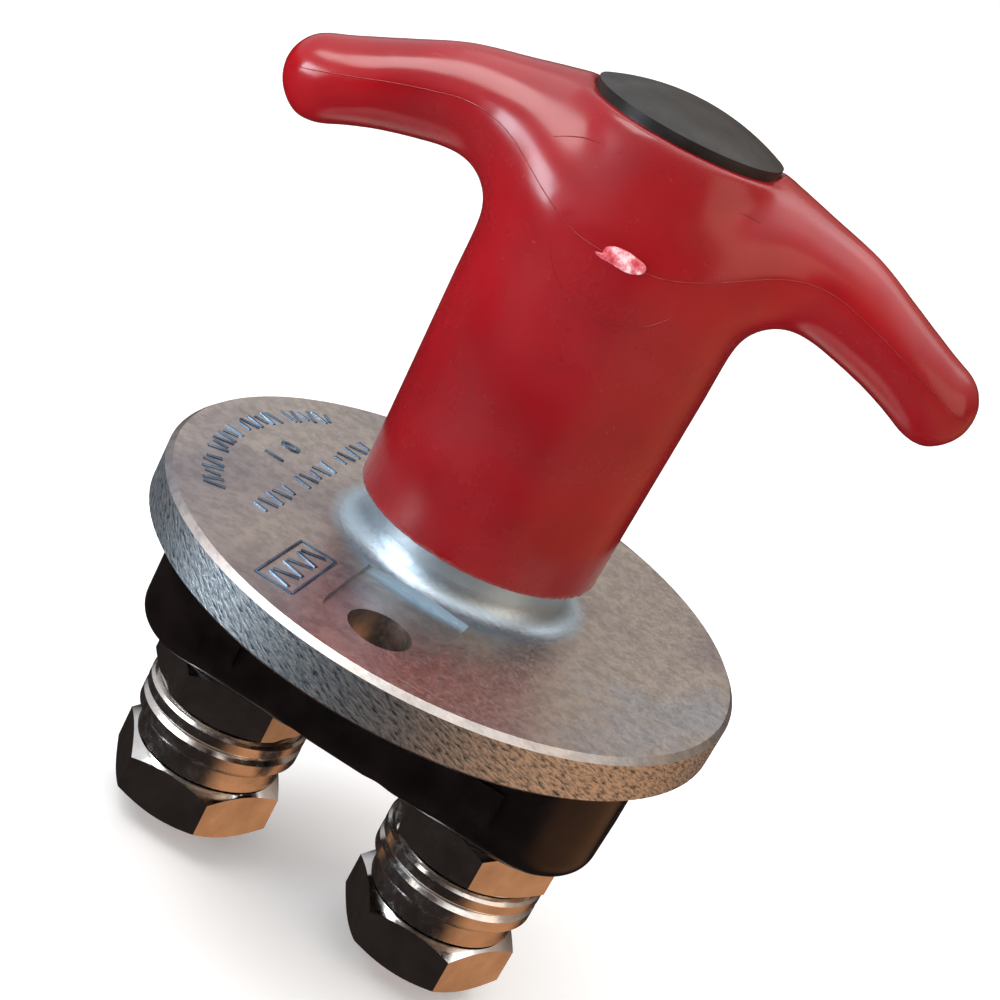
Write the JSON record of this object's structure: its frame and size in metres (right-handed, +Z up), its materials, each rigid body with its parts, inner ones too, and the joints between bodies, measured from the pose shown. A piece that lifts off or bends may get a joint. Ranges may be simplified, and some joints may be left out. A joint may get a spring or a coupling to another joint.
{
  "type": "battery switch",
  "caption": "Boat battery master switch: red T-handle on a round zinc-plated panel flange, black insulating housing and copper terminal studs with nuts below.",
  "frame": {"origin": "centre of the flange's underside, on the spindle axis", "axes": "+Z up the spindle towards the T-handle, +X along the row of terminals, -Y towards the front mounting hole"},
  "size_m": [0.0744, 0.064, 0.0964],
  "materials": {
    "zinc_plate": "satin zinc plate, faintly iridescent",
    "bearing_bronze": "turned bearing bronze",
    "black_rubber": "matt black rubber",
    "black_moulding": "glossy black thermoset moulding",
    "plated_steel": "zinc plated steel",
    "bright_nut": "bright polished plating",
    "bright_washer": "bright plating, lightly scratched",
    "stud_copper": "warm copper, threaded",
    "contact_silver": "silver contact face",
    "spindle_steel": "turned steel",
    "red_plastic": "glossy moulded red plastic",
    "cap_plastic": "matt charcoal plastic",
    "spring_steel": "drawn spring wire",
    "rivet_brass": "brass rivet"
  },
  "bodies": {
    "base": {"flange_plate": "zinc_plate", "spindle_bush": "bearing_bronze", "housing_gasket": "black_rubber", "housing": "black_moulding", "housing_screws": "plated_steel", "contact_spring": "spring_steel", "terminal_stud_left": "stud_copper", "terminal_stud_right": "stud_copper", "fixed_contact_tip_left": "contact_silver", "fixed_contact_tip_right": "contact_silver", "stud_seal_left": "black_rubber", "stud_seal_right": "black_rubber", "inner_nut_left": "bright_nut", "inner_nut_right": "bright_nut", "upper_washer_left": "bright_washer", "upper_washer_right": "bright_washer", "lower_washer_left": "bright_washer", "lower_washer_right": "bright_washer", "spring_washer_left": "bright_washer", "spring_washer_right": "bright_washer", "outer_nut_left": "bright_nut", "outer_nut_right": "bright_nut"},
    "handle": {"spindle": "spindle_steel", "thrust_washer": "plated_steel", "drive_pin": "plated_steel", "spindle_seal": "black_rubber", "t_handle": "red_plastic", "handle_screw": "plated_steel", "handle_screw_washer": "plated_steel", "handle_cap": "cap_plastic"},
    "carrier": {"contact_carrier": "black_moulding", "contact_bridge": "stud_copper", "moving_contact_tips": "contact_silver", "bridge_rivets": "rivet_brass"}
  },
  "joints": [
    {"name": "handle_turn", "type": "hinge", "parent": "base", "child": "handle", "pos_m": [0, 0, 0], "axis": [0, 0, 1], "range_deg": [0, 90]},
    {"name": "contact_lift", "type": "slide", "parent": "base", "child": "carrier", "axis": [0, 0, 1], "range_m": [0, 0.003], "deforming": ["contact_spring"]}
  ],
  "couplings": [
    {"joint": "contact_lift", "follows": "handle_turn", "m_per_rad": 0.0019098}
  ]
}
